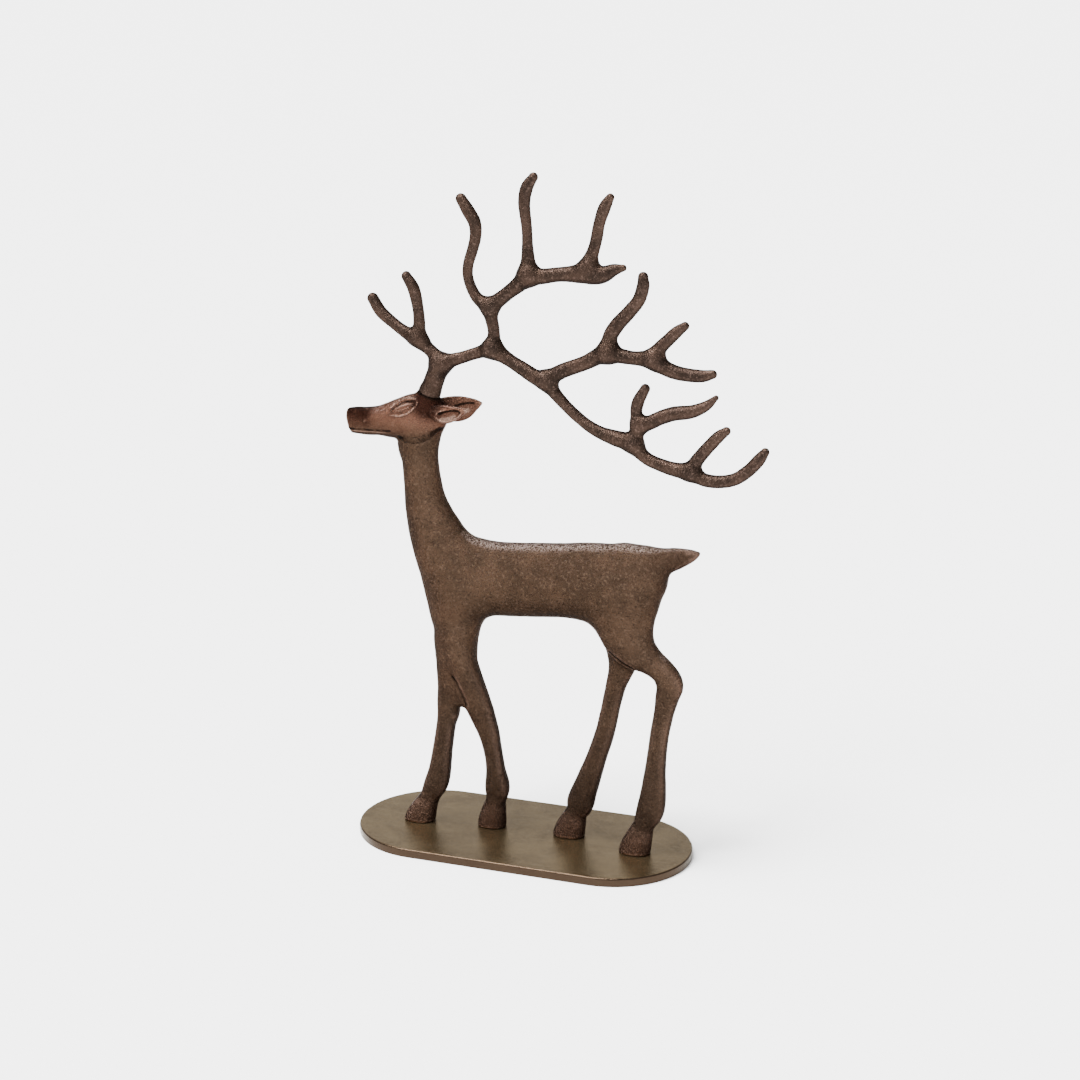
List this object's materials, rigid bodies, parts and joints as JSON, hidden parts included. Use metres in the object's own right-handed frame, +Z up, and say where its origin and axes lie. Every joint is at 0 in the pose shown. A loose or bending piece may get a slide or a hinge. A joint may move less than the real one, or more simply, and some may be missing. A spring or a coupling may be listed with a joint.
{
  "type": "bronze reindeer statue",
  "caption": "Standing cast reindeer with a wide flat branching antler, on a thin plate with straight sides and half-round ends.",
  "frame": {"origin": "centre of the base plate's underside", "axes": "+Z up, the reindeer faces -X, +Y is its left-to-right depth with the side that the picture shows at -Y"},
  "size_m": [0.2944, 0.1106, 0.462],
  "materials": {
    "plate_bronze": "satin olive brown patina with soft blurred reflections",
    "body_bronze": "warm brown patina over a fine sand-cast grain",
    "antler_bronze": "darker, glossier red-brown patina with small bright speckles"
  },
  "bodies": {
    "root": {"base_plate": "plate_bronze", "reindeer": "body_bronze", "antler": "antler_bronze"}
  },
  "joints": []
}
